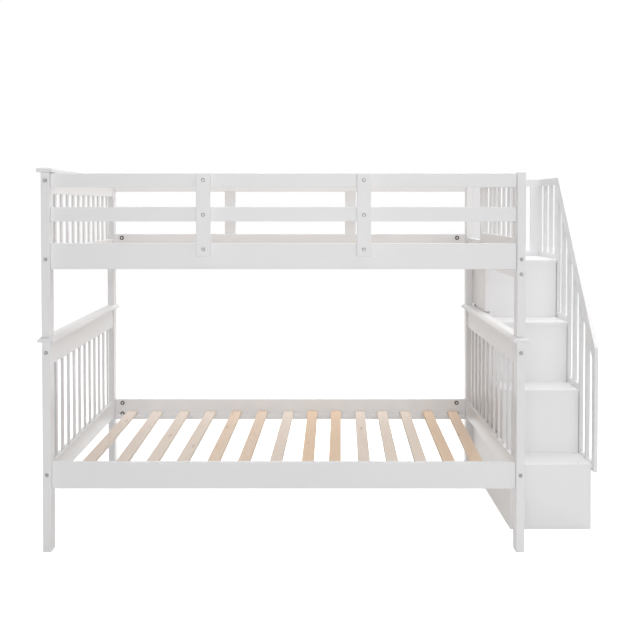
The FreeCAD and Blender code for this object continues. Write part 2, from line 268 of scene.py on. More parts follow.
@dataclass(frozen=True)
class SatinPaint:
    """White satin paint on sanded pine or board: faint raised grain under a smooth sprayed coat."""

    name: str
    colour: Triple = (0.86, 0.858, 0.868)
    shade: Triple = (0.84, 0.838, 0.846)
    roughness: float = 0.36
    raised_grain: float = 0.10
    broad_scale: Triple = (1.6, 5.0, 5.0)
    fibre_scale: Triple = (9.0, 260.0, 260.0)
    peel_scale: Triple = (420.0, 420.0, 420.0)
    relief: float = 0.2 * MM

    def build(self) -> bpy.types.Material:
        """Makes the material."""
        finish = Finish(self.name)
        broad = finish.noise(finish.grain_place(self.broad_scale), 1.0, 2.0)
        fibres = finish.noise(finish.grain_place(self.fibre_scale), 1.0, 4.0, 0.6, 0.4)
        peel = finish.noise(finish.grain_place(self.peel_scale), 1.0, 1.0)
        finish.set(
            Base_Color=finish.blend(broad, rgba(self.colour), rgba(self.shade)),
            Roughness=self.roughness + 0.10 * (fibres - 0.5) + 0.05 * (broad - 0.5),
            Normal=finish.bump(fibres * 0.7 + peel * 0.3, self.raised_grain, self.relief),
            Specular_IOR_Level=0.5,
        )
        return finish.material


@dataclass(frozen=True)
class SandedPine:
    """Bare sanded pine of a slat: growth rings stretched along it, a few knots, one tone a board."""

    name: str
    pale: Triple = (0.83, 0.735, 0.645)
    golden: Triple = (0.82, 0.615, 0.44)
    pinkish: Triple = (0.83, 0.725, 0.65)
    ring: Triple = (0.70, 0.48, 0.32)
    knot: Triple = (0.42, 0.26, 0.17)
    figured_tone: float = 0.73
    drift_scale: Triple = (2.2, 9.0, 9.0)
    ring_scale: Triple = (0.9, 34.0, 26.0)
    pore_scale: Triple = (26.0, 900.0, 900.0)
    knot_scale: Triple = (2.6, 17.0, 17.0)
    knot_size: float = 0.13
    knot_strength: float = 0.4
    relief: float = 0.3 * MM

    def build(self) -> bpy.types.Material:
        """Makes the material."""
        finish = Finish(self.name)
        graph = finish.graph
        tone = graph.attribute("tone", "Fac")
        stops = [(0.0, rgba(self.pinkish)), (0.45, rgba(self.pale)), (1.0, rgba(self.golden))]
        ground = graph.value("ShaderNodeValToRGB", {"stops": stops}, {"Fac": tone}, "Color")
        drift = finish.noise(finish.grain_place(self.drift_scale), 1.0, 2.0)
        rings = finish.noise(finish.grain_place(self.ring_scale), 1.0, 2.0, 0.5, 0.6)
        bands = rings * 9.0 + drift * 2.0
        off_tone = tone - self.figured_tone
        figured = (1.0 - off_tone.math("ABSOLUTE", off_tone) * 8.0).clamp()
        line = (bands.math("FRACT", bands) ** 3.0) * (0.22 + figured * 0.45)
        pores = finish.noise(finish.grain_place(self.pore_scale), 1.0, 3.0, 0.7)
        cells = graph.value("ShaderNodeTexVoronoi", {"feature": "F1"},
                            {"Vector": finish.grain_place(self.knot_scale), "Scale": 1.0}, "Distance")
        eye = ((self.knot_size - cells) * 16.0).clamp()
        colour = finish.blend(line, ground, rgba(self.ring))
        colour = finish.blend(((pores - 0.52) * 0.9).clamp(), colour, rgba(self.ring))
        colour = finish.blend(eye * self.knot_strength, colour, rgba(self.knot))
        finish.set(
            Base_Color=colour,
            Roughness=0.55 + 0.12 * (pores - 0.5) - 0.10 * line,
            Normal=finish.bump(line * 0.5 + pores * 0.5, 0.18, self.relief),
        )
        return finish.material


@dataclass(frozen=True)
class PlatedSteel:
    """Zinc plated steel of a bolt or nut: dull, with a fine turned and tarnished surface."""

    name: str
    colour: Triple = (0.33, 0.325, 0.32)
    tarnish: Triple = (0.17, 0.165, 0.16)
    roughness: float = 0.38
    stain_scale: float = 260.0
    scratch_scale: float = 1800.0
    relief: float = 0.1 * MM

    def build(self) -> bpy.types.Material:
        """Makes the material."""
        finish = Finish(self.name)
        place = finish.graph.value("ShaderNodeTexCoord", out="Object")
        stain = finish.noise(place, self.stain_scale, 4.0, 0.6)
        scratch = finish.noise(place, self.scratch_scale, 2.0)
        finish.set(
            Base_Color=finish.blend(((stain - 0.42) * 3.0).clamp(), rgba(self.colour), rgba(self.tarnish)),
            Metallic=1.0,
            Roughness=self.roughness + 0.25 * (stain - 0.4),
            Normal=finish.bump(scratch, 0.25, self.relief),
        )
        return finish.material


@dataclass(frozen=True)
class PaleGround:
    """The plain white floor: white to the camera, with the object's soft shadow kept on it."""

    name: str
    albedo: float = 0.80
    lift: float = 0.82

    def build(self) -> bpy.types.Material:
        """Makes the material."""
        finish = Finish(self.name)
        graph = finish.graph
        finish.set(Base_Color=rgba((self.albedo,) * 3), Roughness=0.9, Specular_IOR_Level=0.1)
        plain = finish.shader.outputs[0]
        white = graph.node("ShaderNodeEmission", inputs={"Strength": self.lift})
        both = graph.node("ShaderNodeAddShader", inputs={0: plain, 1: white.outputs[0]})
        mixed = graph.node("ShaderNodeMixShader", inputs={0: graph.direct(), 1: plain, 2: both.outputs[0]})
        graph.feed(finish.output.inputs["Surface"], mixed.outputs[0])
        return finish.material


# ---- blocks and boards --------------------------------------------------------------------


@dataclass(frozen=True)
class Block:
    """An upright box between its lowest and highest corners."""

    low: Vector
    high: Vector

    @classmethod
    def of(cls, node: str) -> "Block":
        """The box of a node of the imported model."""
        low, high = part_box(node)
        return cls(low, high)

    @classmethod
    def span(cls, x0: float, x1: float, y0: float, y1: float, z0: float, z1: float) -> "Block":
        """A box from its six limits."""
        return cls(Vector((x0, y0, z0)), Vector((x1, y1, z1)))

    @property
    def size(self) -> Vector:
        """Its length along each axis."""
        return self.high - self.low

    @property
    def middle(self) -> Vector:
        """Its middle point."""
        return (self.low + self.high) / 2

    @property
    def long_axis(self) -> Axis:
        """The axis along which it is longest."""
        return Axis(max(range(3), key=lambda i: self.size[i]))

    def part(self, axis: Axis, start: float, length: float) -> "Block":
        """The slice of it that begins at start on the axis and is that long."""
        low, high = self.low.copy(), self.high.copy()
        low[axis.value] = start
        high[axis.value] = start + length
        return Block(low, high)

    def row(self, axis: Axis, count: int, width: float) -> list["Block"]:
        """Equal slices of that width, the first and last flush with its ends."""
        i = axis.value
        step = (self.size[i] - width) / (count - 1)
        return [self.part(axis, self.low[i] + n * step, width) for n in range(count)]


class RoundedBlock:
    """A template for boxes with rounded edges: a lattice on a cube's surface."""

    def __init__(self, rings: int) -> None:
        """Builds the template with that many rings of faces round each edge."""
        last = 2 * rings + 1
        turn = [math.tan(math.radians(45.0 * n / rings)) for n in range(rings + 1)]
        lean = [-t for t in reversed(turn)] + turn
        ids: dict[tuple[int, int, int], int] = {}
        quads: list[list[int]] = []
        for axis in range(3):
            for level in (0, last):
                for i in range(last):
                    for j in range(last):
                        corners = []
                        for a, b in ((i, j), (i + 1, j), (i + 1, j + 1), (i, j + 1)):
                            key = [0, 0, 0]
                            key[axis], key[(axis + 1) % 3], key[(axis + 2) % 3] = level, a, b
                            corners.append(ids.setdefault(tuple(key), len(ids)))
                        quads.append(corners if level else corners[::-1])
        self.quads = np.array(quads, int)
        self.side = np.array([[float(k > rings) for k in key] for key in ids])
        leans = np.array([[lean[k] for k in key] for key in ids])
        self.normals = leans / np.linalg.norm(leans, axis=1, keepdims=True)

    def points(self, block: Block, radius: float) -> np.ndarray:
        """The template's points on a block with that edge radius."""
        low = np.array(block.low) + radius
        high = np.array(block.high) - radius
        return low + (high - low) * self.side + radius * self.normals


def grain_order(axis: Axis) -> list[int]:
    """The numbers of the axes, the grain's first."""
    return [(axis.value + n) % 3 for n in range(3)]


class Stock:
    """Collects boards into one mesh, with their grain and tone as attributes."""

    EDGE = RoundedBlock(2)

    def __init__(self, seed: int) -> None:
        """Starts an empty mesh; the seed settles how its boards differ in tone."""
        self.points: list[np.ndarray] = []
        self.normals: list[np.ndarray] = []
        self.quads: list[np.ndarray] = []
        self.grain: list[np.ndarray] = []
        self.tone: list[np.ndarray] = []
        self.dice = random.Random(seed)
        self.count = 0

    def board(self, block: Block, radius: float = 1.5 * MM, axis: Axis | None = None,
              lean_top: float = 0.0, lean_all: float = 0.0) -> None:
        """Adds a board.

        Args:
            block: its box.
            radius: the radius of its edges.
            axis: the direction of its grain, by default its longest side.
            lean_top: rise of its top face per metre towards +Y, about the box's middle.
            lean_all: rise of the whole board per metre towards +Y, about its front face.
        """
        axis = axis or block.long_axis
        radius = min(radius, min(block.size) * 0.45)
        points = self.EDGE.points(block, radius)
        normals = self.EDGE.normals.copy()
        points[:, 2] += lean_all * (points[:, 1] - block.low.y)
        on_top = self.EDGE.side[:, 2] > 0.5
        points[on_top, 2] += lean_top * (points[on_top, 1] - block.middle.y)
        slope = np.where(on_top, lean_top, 0.0) + lean_all
        normals[:, 1] -= slope * normals[:, 2]
        normals /= np.linalg.norm(normals, axis=1, keepdims=True)
        self.quads.append(self.EDGE.quads + self.count)
        self.count += len(points)
        self.points.append(points)
        self.normals.append(normals)
        self.grain.append((points - np.array(block.middle))[:, grain_order(axis)])
        self.tone.append(np.full(len(points), self.dice.random()))

    def mesh(self, name: str) -> bpy.types.Mesh:
        """The mesh of all boards so far."""
        mesh = bpy.data.meshes.new(name)
        points = np.concatenate(self.points)
        mesh.from_pydata(points.tolist(), [], np.concatenate(self.quads).tolist())
        stamp(mesh, np.concatenate(self.grain), np.concatenate(self.tone))
        mesh.shade_smooth()
        mesh.normals_split_custom_set_from_vertices(np.concatenate(self.normals).tolist())
        return mesh


def stamp(mesh: bpy.types.Mesh, grain: np.ndarray, tone: np.ndarray) -> None:
    """Writes the grain's coordinates and the board's tone to a mesh's points."""
    for name, kind, field_name, values in (("grain", "FLOAT_VECTOR", "vector", grain),
                                           ("tone", "FLOAT", "value", tone)):
        layer = mesh.attributes.get(name) or mesh.attributes.new(name, kind, "POINT")
        layer.data.foreach_set(field_name, np.asarray(values, np.float32).ravel())


def stamp_board(mesh: bpy.types.Mesh, block: Block, axis: Axis, tone: float) -> None:
    """Writes one board's grain and tone to a mesh that is all of one board."""
    points = np.zeros(len(mesh.vertices) * 3)
    mesh.vertices.foreach_get("co", points)
    local = (points.reshape(-1, 3) - np.array(block.middle))[:, grain_order(axis)]
    stamp(mesh, local, np.full(len(local), tone))


def facing(point: Vector, way: Vector) -> Matrix:
    """The move that brings the origin to a point and +Z to a direction."""
    return Matrix.Translation(point) @ Vector((0, 0, 1)).rotation_difference(way).to_matrix().to_4x4()


def skin(shape: bmesh.types.BMesh, rings: Sequence[Sequence[bmesh.types.BMVert]]) -> None:
    """Joins rings of points with faces, from the lowest up, and closes both ends."""
    for lower, upper in zip(rings, rings[1:]):
        for n in range(len(lower)):
            m = (n + 1) % len(lower)
            shape.faces.new((lower[n], lower[m], upper[m], upper[n]))
    shape.faces.new(rings[-1])
    shape.faces.new(rings[0][::-1])


def released(shape: bmesh.types.BMesh, name: str) -> bpy.types.Mesh:
    """The shape as a mesh; the shape itself is freed."""
    mesh = bpy.data.meshes.new(name)
    shape.to_mesh(mesh)
    shape.free()
    return mesh


def cylinders(places: Iterable[Spot], radius: float, depth: float) -> bpy.types.Mesh:
    """Closed cylinders, each from its point along its direction.

    Args:
        places: the middle of each first face, and the direction from it.
        radius: their radius.
        depth: their length.

    Returns:
        One mesh of all.
    """
    shape = bmesh.new()
    for point, way in places:
        bmesh.ops.create_cone(shape, cap_ends=True, segments=ROUND_SIDES, radius1=radius, radius2=radius,
                              depth=depth, matrix=facing(point + way * depth / 2, way))
    return released(shape, "cylinders")


class Workshop:
    """Turns meshes into finished pieces of the object."""

    FINISHES = (
        SatinPaint("paint_satin_white"),
        SatinPaint("paint_stair_boards", (0.87, 0.87, 0.875), (0.85, 0.85, 0.855), raised_grain=0.05),
        SandedPine("pine_sanded"),
        PlatedSteel("steel_zinc_plated"),
        # The nut's near-black brown is partly the nut's own steel and partly painted shade: it darkens the
        # nut to stand for the shade inside its bore round the bolt end.
        PlatedSteel("steel_dark_nut", (0.17, 0.145, 0.13), (0.08, 0.06, 0.05), 0.5),
        SatinPaint("plastic_plug_pale", (0.62, 0.615, 0.61), (0.58, 0.575, 0.57), 0.4, 0.02),
        PlatedSteel("steel_bolt_end", (0.80, 0.79, 0.78), (0.55, 0.54, 0.53)),
        SatinPaint("plastic_cap_white", (0.93, 0.93, 0.93), (0.91, 0.91, 0.91), 0.22, 0.02),
    )

    def __init__(self) -> None:
        """Builds the finishes."""
        self.paint, self.board_paint, self.pine, self.steel, self.dark_steel, self.plug_grey, \
            self.bright_steel, self.cap_white = (finish.build() for finish in self.FINISHES)
        self.count = 0

    def evaluated(self, obj: bpy.types.Object) -> bpy.types.Mesh:
        """The object's mesh with its modifiers applied."""
        graph = bpy.context.evaluated_depsgraph_get()
        return bpy.data.meshes.new_from_object(obj.evaluated_get(graph), preserve_all_data_layers=True,
                                               depsgraph=graph)

    def loose(self, name: str, mesh: bpy.types.Mesh) -> bpy.types.Object:
        """A linked object at the origin with that mesh."""
        obj = bpy.data.objects.new(name, mesh)
        bpy.context.scene.collection.objects.link(obj)
        return obj

    def drop(self, obj: bpy.types.Object) -> None:
        """Removes a helper object."""
        bpy.data.objects.remove(obj, do_unlink=True)

    def soften(self, mesh: bpy.types.Mesh, sharp: float = 35.0) -> bpy.types.Mesh:
        """Smooth shading up to a sharp angle, with the large faces kept flat."""
        mesh.shade_smooth()
        mesh.set_sharp_from_angle(angle=math.radians(sharp))
        obj = self.loose("soften", mesh)
        modifier = obj.modifiers.new("weights", "WEIGHTED_NORMAL")
        modifier.weight = 100
        modifier.keep_sharp = True
        result = self.evaluated(obj)
        self.drop(obj)
        return result

    def bored(self, mesh: bpy.types.Mesh, cutters: Sequence[bpy.types.Mesh]) -> bpy.types.Mesh:
        """The mesh with the cutters' volumes taken out of it."""
        obj = self.loose("bored", mesh)
        helpers = [self.loose("cutter", cutter) for cutter in cutters]
        for helper in helpers:
            modifier = obj.modifiers.new("bore", "BOOLEAN")
            modifier.operation = "DIFFERENCE"
            modifier.solver = "EXACT"
            modifier.object = helper
        result = self.evaluated(obj)
        for helper in (obj, *helpers):
            self.drop(helper)
        return result

    def place(self, name: str, mesh: bpy.types.Mesh, finish: bpy.types.Material, slot: Slot,
              *nodes: str) -> bpy.types.Object:
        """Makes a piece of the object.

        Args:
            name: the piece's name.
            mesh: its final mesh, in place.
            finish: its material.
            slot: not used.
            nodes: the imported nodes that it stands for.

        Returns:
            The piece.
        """
        mesh.materials.clear()
        mesh.materials.append(finish)
        mesh.polygons.foreach_set("material_index", [0] * len(mesh.polygons))
        mesh.name = name
        piece = self.loose(name, mesh)
        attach(piece, BODY)
        if nodes:
            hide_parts(*nodes)
        self.count += 1
        LOG.info("piece %d: %s, %d faces", self.count, name, len(mesh.polygons))
        return piece

    def drilled(self, name: str, blocks: Iterable[Block], axis: Axis, cutter: bpy.types.Mesh,
                *nodes: str) -> bpy.types.Object:
        """Makes a painted piece of boards with bores.

        Args:
            name: the piece's name.
            blocks: the boards' boxes.
            axis: the direction of their grain.
            cutter: the volumes of the bores.
            nodes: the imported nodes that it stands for.

        Returns:
            The piece.
        """
        stock = Stock(len(name))
        blocks = list(blocks)
        for block in blocks:
            stock.board(block, RAIL_EDGE, axis)
        mesh = self.soften(self.bored(stock.mesh(name), [cutter]))
        stamp_board(mesh, blocks[0], axis, stock.dice.random())
        return self.place(name, mesh, self.paint, Slot.PAINT, *nodes)

    def boards(self, name: str, blocks: Iterable[Block], *nodes: str, radius: float = 1.5 * MM,
               axis: Axis | None = None, finish: bpy.types.Material | None = None) -> bpy.types.Object:
        """Makes a painted piece of plain boards."""
        stock = Stock(len(name) * 7 + self.count)
        for block in blocks:
            stock.board(block, radius, axis)
        return self.place(name, stock.mesh(name), finish or self.paint, Slot.PAINT, *nodes)


# ---- geometry node trees ------------------------------------------------------------------


class RowTree:
    """A Geometry Nodes tree that lays a rounded board on every point of a mesh."""

    def __init__(self, name: str, finish: bpy.types.Material) -> None:
        """Builds the tree.

        Args:
            name: the tree's name.
            finish: the material that every board gets.
        """
        self.tree = bpy.data.node_groups.new(name, "GeometryNodeTree")
        face = self.tree.interface
        face.new_socket("Points", in_out="INPUT", socket_type="NodeSocketGeometry")
        for title in ("Width", "Thickness", "Length", "Edge Radius"):
            face.new_socket(title, in_out="INPUT", socket_type="NodeSocketFloat")
        face.new_socket("Turn", in_out="INPUT", socket_type="NodeSocketVector")
        face.new_socket("Boards", in_out="OUTPUT", socket_type="NodeSocketGeometry")
        graph = Graph(self.tree)
        given = graph.node("NodeGroupInput").outputs
        outline = graph.value("GeometryNodeCurvePrimitiveQuadrilateral",
                              inputs={"Width": given["Width"], "Height": given["Thickness"]})
        eased = graph.value("GeometryNodeFilletCurve", {"mode": "POLY"},
                            {"Curve": outline, "Count": 3, "Radius": given["Edge Radius"]})
        half = Expr(graph, given["Length"]) * 0.5
        start, stop = (graph.value("ShaderNodeCombineXYZ", inputs={"Z": z}) for z in (half * -1.0, half))
        line = graph.value("GeometryNodeCurvePrimitiveLine", inputs={"Start": start, "End": stop})
        swept = graph.value("GeometryNodeCurveToMesh",
                            inputs={"Curve": line, "Profile Curve": eased, "Fill Caps": True})
        place = graph.value("GeometryNodeInputPosition")
        split = graph.node("ShaderNodeSeparateXYZ", inputs={"Vector": place}).outputs
        local = graph.value("ShaderNodeCombineXYZ",
                            inputs={"X": split["Z"], "Y": split["X"], "Z": split["Y"]})
        marked = graph.value("GeometryNodeStoreNamedAttribute",
                             {"data_type": "FLOAT_VECTOR", "domain": "POINT"},
                             {"Geometry": swept, "Name": "grain", "Value": local})
        turned = graph.value("GeometryNodeTransform",
                             inputs={"Geometry": marked, "Rotation": given["Turn"]})
        points = graph.value("GeometryNodeMeshToPoints", inputs={"Mesh": given["Points"]})
        skew = graph.value("GeometryNodeInputNamedAttribute", {"data_type": "FLOAT"}, {"Name": "skew"})
        aside = graph.value("ShaderNodeCombineXYZ", inputs={"Z": skew})
        laid = graph.value("GeometryNodeInstanceOnPoints",
                           inputs={"Points": points, "Instance": turned, "Rotation": aside})
        real = graph.value("GeometryNodeRealizeInstances", inputs={"Geometry": laid})
        dressed = graph.value("GeometryNodeSetMaterial", inputs={"Geometry": real, "Material": finish})
        graph.node("NodeGroupOutput", inputs={0: dressed})

    def mesh(self, shop: Workshop, points: Sequence[Vector], tones: Sequence[float],
             skews: Sequence[float] | None = None, **sizes: object) -> bpy.types.Mesh:
        """The boards as a plain mesh.

        Args:
            shop: the workshop that evaluates the tree.
            points: the middle of each board.
            tones: each board's tone, from 0 to 1.
            skews: each board's own turn about the vertical, in radians.
            sizes: the tree's inputs by name; an underscore stands for a space.

        Returns:
            The mesh.
        """
        carrier = bpy.data.meshes.new("row_points")
        carrier.from_pydata([tuple(p) for p in points], [], [])
        for name, values in (("tone", tones), ("skew", skews or [0.0] * len(points))):
            carrier.attributes.new(name, "FLOAT", "POINT").data.foreach_set("value", list(values))
        obj = shop.loose("row", carrier)
        modifier = obj.modifiers.new("row", "NODES")
        modifier.node_group = self.tree
        named = {item.name: item.identifier for item in self.tree.interface.items_tree
                 if item.item_type == "SOCKET" and item.in_out == "INPUT"}
        for title, value in sizes.items():
            modifier[named[title.replace("_", " ")]] = value
        weights = obj.modifiers.new("weights", "WEIGHTED_NORMAL")
        weights.weight = 100
        result = shop.evaluated(obj)
        shop.drop(obj)
        return shop.soften(result, 50.0)


# ---- assemblies ---------------------------------------------------------------------------


@dataclass
class Bolts:
    """Sunk socket bolts in the posts and stiles, and the round nuts let into the side rails."""

    head_radius: float = 7.0 * MM
    head_height: float = 4.0 * MM
    socket: float = 2.3 * MM
    bore_radius: float = 8.3 * MM
    bore_depth: float = 6.0 * MM
    nut_radius: float = 11.4 * MM
    nut_bore_radius: float = 12.6 * MM
    nut_bore_depth: float = 6.0 * MM
    bolt_end_radius: float = 4.8 * MM
    nut_sink: float = 2.0 * MM
    bolt_end_sink: float = 0.8 * MM
    bevel: float = 1.2 * MM
    socket_rim: float = 1.18
    socket_chamfer: float = 0.3 * MM
    socket_depth: float = 1.6 * MM
    heads: list[Spot] = field(default_factory=list)
    nuts: list[Spot] = field(default_factory=list)
    ends: list[Spot] = field(default_factory=list)

    def sink(self, point: Vector, outward: Vector) -> Spot:
        """Notes a bolt at a point of a face, and gives the bore that its head lies in.

        Args:
            point: where the bolt's axis meets the face.
            outward: the direction in which the face looks.

        Returns:
            The start and direction of the bore's cutter, which begins just outside the face.
        """
        self.heads.append((point - outward * (self.bore_depth - self.head_height), outward))
        return point + outward * OUTSIDE, -outward

    def sink_nut(self, point: Vector, outward: Vector) -> Spot:
        """Notes a nut at a point of a face, with its bolt's end in it, and gives its bore."""
        self.nuts.append((point - outward * self.nut_sink, outward))
        self.ends.append((point - outward * self.bolt_end_sink, outward))
        return point + outward * OUTSIDE, -outward

    def bores(self, cuts: Iterable[Spot]) -> bpy.types.Mesh:
        """The cutter for the bores of bolt heads."""
        return cylinders(cuts, self.bore_radius, self.bore_depth + OUTSIDE)

    def nut_bores(self, cuts: Iterable[Spot]) -> bpy.types.Mesh:
        """The cutter for the bores of nuts."""
        return cylinders(cuts, self.nut_bore_radius, self.nut_bore_depth + OUTSIDE)

    def head(self, shape: bmesh.types.BMesh, point: Vector, outward: Vector, radius: float) -> None:
        """Adds one bolt head with a hexagon socket to the mesh, its face at the point."""
        angles = [2 * math.pi * n / ROUND_SIDES for n in range(ROUND_SIDES)]
        outline = [(radius, -self.head_height), (radius, -self.bevel), (radius - self.bevel, 0.0),
                   (self.socket * self.socket_rim, 0.0)]
        rings = [[(r, z)] * ROUND_SIDES for r, z in outline]
        flat = self.socket * math.cos(math.pi / 6)
        for z in (-self.socket_chamfer, -self.socket_depth):
            rings.append([(flat / math.cos(a % (math.pi / 3) - math.pi / 6), z) for a in angles])
        matrix = facing(point, outward)
        skin(shape, [[shape.verts.new(matrix @ Vector((r * math.cos(a), r * math.sin(a), z)))
                      for a, (r, z) in zip(angles, ring)] for ring in rings])

    def build(self, shop: Workshop) -> None:
        """Makes the heads, the nuts and the bolts' ends as three pieces."""
        for name, places, radius, finish in (
                ("bolt_heads", self.heads, self.head_radius, shop.steel),
                # The nuts get the steel that carries painted shade of their bores.
                ("barrel_nuts", self.nuts, self.nut_radius, shop.dark_steel),
                ("bolt_ends", self.ends, self.bolt_end_radius, shop.bright_steel)):
            shape = bmesh.new()
            for point, outward in places:
                self.head(shape, point, outward, radius)
            shop.place(name, shop.soften(released(shape, name), 40.0), finish, Slot.STEEL)


@dataclass
class Posts:
    """The posts of one bed, with a sunk bore for each bolt."""

    prefix: str
    end_bolts: dict[End, tuple[float, ...]]
    side_bolts: tuple[float, ...]
    rail_setback: float = 31.0 * MM

    def build(self, shop: Workshop, bolts: Bolts) -> None:
        """Makes the four posts."""
        for side in Side:
            for end in End:
                self.build_post(shop, bolts, side, end)

    def build_post(self, shop: Workshop, bolts: Bolts, side: Side, end: End) -> None:
        """Makes one post.

        Args:
            shop: the workshop.
            bolts: takes note of the post's bolts.
            side: front or back.
            end: left or right.
        """
        name = f"{self.prefix}_post_{side.name.lower()}_{end.name.lower()}"
        block = Block.of(name)
        face_y = block.low.y if side is Side.FRONT else block.high.y
        face_x = block.low.x if end is End.LEFT else block.high.x
        rail_y = face_y - side.value * self.rail_setback
        cuts = [bolts.sink(Vector((block.middle.x, face_y, z)), Vector((0, side.value, 0)))
                for z in self.end_bolts[end]]
        cuts += [bolts.sink(Vector((face_x, rail_y, z)), Vector((end.value, 0, 0)))
                 for z in self.side_bolts]
        shop.drilled(name + "_bored", [block], Axis.Z, bolts.bores(cuts), name)


@dataclass
class CapRail:
    """A cap with moulded edges that lies over one end of a bed."""

    node: str
    slope_width: float
    slope_height: float
    nose: float = 2.0 * MM
    tone: float = 0.37
    steps: int = 5
    bulge: float = 0.10

    def build(self, shop: Workshop) -> None:
        """Makes the cap as rings of its moulding, mitred at the corners."""
        block = Block.of(self.node)
        height = block.size.z
        lip = height - self.slope_height
        rings = [(self.nose * 0.6, 0.0), (0.0, self.nose * 0.6), (0.0, lip - self.nose * 0.6)]
        for n in range(self.steps + 1):
            share = n / self.steps
            bulge = math.sin(math.pi * share) * self.slope_height * self.bulge
            rings.append((self.slope_width * share - bulge + self.nose * 0.25 * (1 - share),
                          lip + self.slope_height * (share ** 0.9) * 0.985))
        rings.append((self.slope_width + self.nose, height))
        shape = bmesh.new()
        loops = []
        for inset, z in rings:
            x0, x1 = block.low.x + inset, block.high.x - inset
            y0, y1 = block.low.y + inset, block.high.y - inset
            loops.append([shape.verts.new((x, y, block.low.z + z))
                          for x, y in ((x0, y0), (x1, y0), (x1, y1), (x0, y1))])
        skin(shape, loops)
        mesh = shop.soften(released(shape, self.node), 50.0)
        stamp_board(mesh, block, Axis.Y, self.tone)
        shop.place(self.node + "_moulded", mesh, shop.paint, Slot.PAINT, self.node)


@dataclass(frozen=True)
class BarRow:
    """A row of flat bars, all alike, between two rails."""

    name: str
    node: str
    count: int
    seed: int
    width: float = 28.0 * MM
    thickness: float = 10.0 * MM
    edge: float = 1.6 * MM

    def build(self, shop: Workshop, rows: RowTree, low: float, high: float) -> None:
        """Makes the bars.

        Args:
            shop: the workshop.
            rows: the tree that lays them out.
            low: the height of their lower ends.
            high: the height of their upper ends.
        """
        bars = Block.of(self.node).row(Axis.Y, self.count, self.width)
        points = [Vector((bar.middle.x, bar.middle.y, (low + high) / 2)) for bar in bars]
        dice = random.Random(self.seed)
        mesh = rows.mesh(shop, points, [dice.random() for _ in points], Width=self.thickness,
                         Thickness=self.width, Length=high - low, Edge_Radius=self.edge)
        shop.place(self.name, mesh, shop.paint, Slot.PAINT, self.node)


@dataclass
class EndPanel:
    """An end of a bed: two rails and a row of flat bars between them."""

    prefix: str
    bar_count: int = 11

    def build(self, shop: Workshop, rows: RowTree) -> None:
        """Makes the rails and the bars."""
        blocks = {}
        for part in ("top_rail", "bottom_rail"):
            node = f"{self.prefix}_{part}"
            blocks[part] = Block.of(node)
            shop.boards(f"{node}_board", [blocks[part]], node, radius=RAIL_EDGE)
        bars = BarRow(f"{self.prefix}_bars_row", f"{self.prefix}_end_bars", self.bar_count,
                      len(self.prefix))
        bars.build(shop, rows, blocks["bottom_rail"].high.z, blocks["top_rail"].low.z)


@dataclass
class SlatBed:
    """The side rails, ledgers and slats of one bed."""

    prefix: str
    tones: tuple[float, ...]
    drift: tuple[float, ...] = (0.0,) * 14
    turn: tuple[float, ...] = (0.0,) * 14
    first_gap: float = 64.0 * MM
    last_gap: float = 72.0 * MM
    slat_width: float = 53.0 * MM
    slat_thickness: float = 19.0 * MM
    end_gap: float = 2.0 * MM
    left_nut_inset: float = 38.0 * MM
    right_nut_inset: float = 47.5 * MM
    nut_heights: tuple[float, ...] = ()
    cap_places: tuple[float, ...] = (-0.599, -0.328, 0.328, 0.599)
    cap_radius: float = 3.6 * MM
    cap_depth: float = 2.2 * MM

    def build(self, shop: Workshop, slats: RowTree, bolts: Bolts) -> None:
        """Makes the rails, the ledgers and the slats."""
        caps = [cap for side in Side for cap in self.build_side(shop, bolts, side)]
        mesh = shop.soften(cylinders(caps, self.cap_radius, self.cap_depth))
        shop.place(f"{self.prefix}_ledger_screw_caps", mesh, shop.cap_white, Slot.PAINT)
        self.build_slats(shop, slats)

    def build_side(self, shop: Workshop, bolts: Bolts, side: Side) -> list[Spot]:
        """Makes a side rail and its ledger.

        Args:
            shop: the workshop.
            bolts: takes note of the nuts.
            side: front or back.

        Returns:
            The place and direction of each screw cap on the ledger.
        """
        place = f"{self.prefix}_{side.name.lower()}"
        inward = Vector((0, -side.value, 0))
        rail, ledger = Block.of(f"{place}_side_rail"), Block.of(f"{place}_ledger")
        inner, face = ((rail.high.y, ledger.high.y) if side is Side.FRONT else (rail.low.y, ledger.low.y))
        cuts = []
        for end in End:
            x = (rail.low.x + self.left_nut_inset if end is End.LEFT
                 else rail.high.x - self.right_nut_inset)
            cuts += [bolts.sink_nut(Vector((x, inner, z)), inward) for z in self.nut_heights]
        shop.drilled(f"{place}_rail_board", [rail], Axis.X, bolts.nut_bores(cuts), f"{place}_side_rail")
        shop.boards(f"{place}_ledger_strip", [ledger], f"{place}_ledger", radius=1.2 * MM)
        return [(Vector((rail.middle.x + x, face, ledger.middle.z)) - inward * MM, inward)
                for x in self.cap_places]

    def build_slats(self, shop: Workshop, slats: RowTree) -> None:
        """Lays the slats across the ledgers, each off its even place and off square as given."""
        bed = Block.of(f"{self.prefix}_slats")
        front, back = Block.of(f"{self.prefix}_front_side_rail"), Block.of(f"{self.prefix}_back_side_rail")
        start = front.low.x + self.first_gap + self.slat_width / 2
        room = front.size.x - self.first_gap - self.last_gap - self.slat_width
        step = room / (len(self.tones) - 1)
        points = [Vector((start + n * step + drift * MM, bed.middle.y, bed.middle.z))
                  for n, drift in enumerate(self.drift)]
        mesh = slats.mesh(shop, points, self.tones, [math.radians(-t) for t in self.turn],
                          Width=self.slat_width, Thickness=self.slat_thickness,
                          Length=back.low.y - front.high.y - 2 * self.end_gap,
                          Edge_Radius=2.0 * MM, Turn=(math.pi / 2, 0.0, 0.0))
        shop.place(f"{self.prefix}_pine_slats", mesh, shop.pine, Slot.WOOD, f"{self.prefix}_slats")


